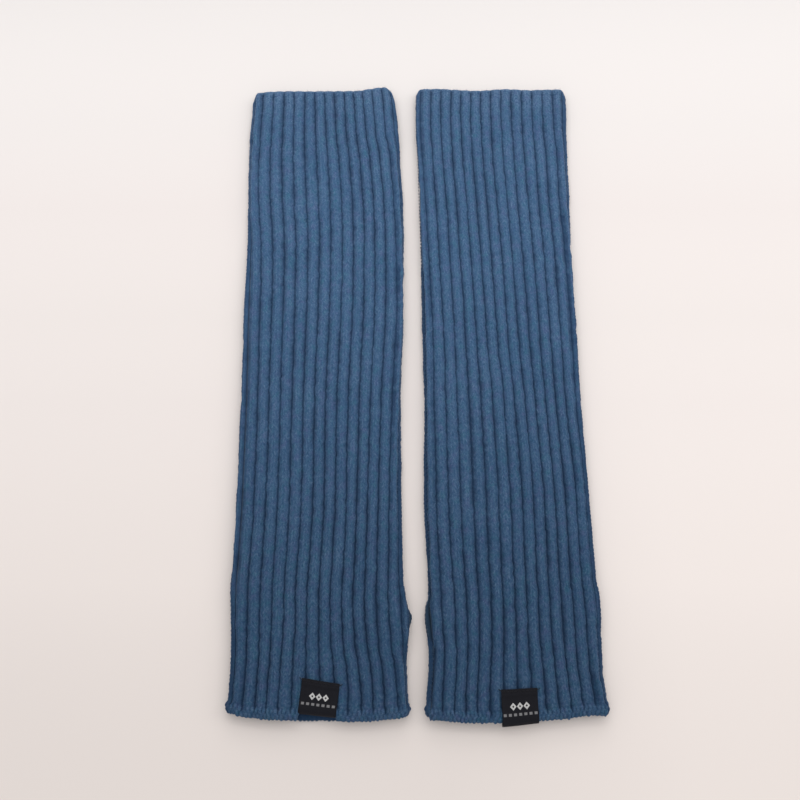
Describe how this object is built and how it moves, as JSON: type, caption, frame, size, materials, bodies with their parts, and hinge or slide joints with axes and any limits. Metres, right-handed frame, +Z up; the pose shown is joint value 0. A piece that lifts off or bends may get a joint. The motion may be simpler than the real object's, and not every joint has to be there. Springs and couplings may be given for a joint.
{
  "type": "pair of arm warmers",
  "caption": "Pair of long rib-knit arm warmers laid flat side by side, each a knitted tube with a thumb slit in its inner seam and a small folded label on the hand hem.",
  "frame": {"origin": "middle of the pair's bounding box, on the surface that it lies on", "axes": "+X across the pair to the right, +Y along the warmers from the hand hems to the elbow ends, +Z up"},
  "size_m": [0.1989, 0.383, 0.0084],
  "materials": {
    "wool": "heathered blue wool, matt and softly fuzzy",
    "label": "close black woven tape with a low sheen"
  },
  "bodies": {
    "root": {"left_front": "wool", "left_back": "wool", "left_label": "label", "right_front": "wool", "right_back": "wool", "right_label": "label"}
  },
  "joints": []
}
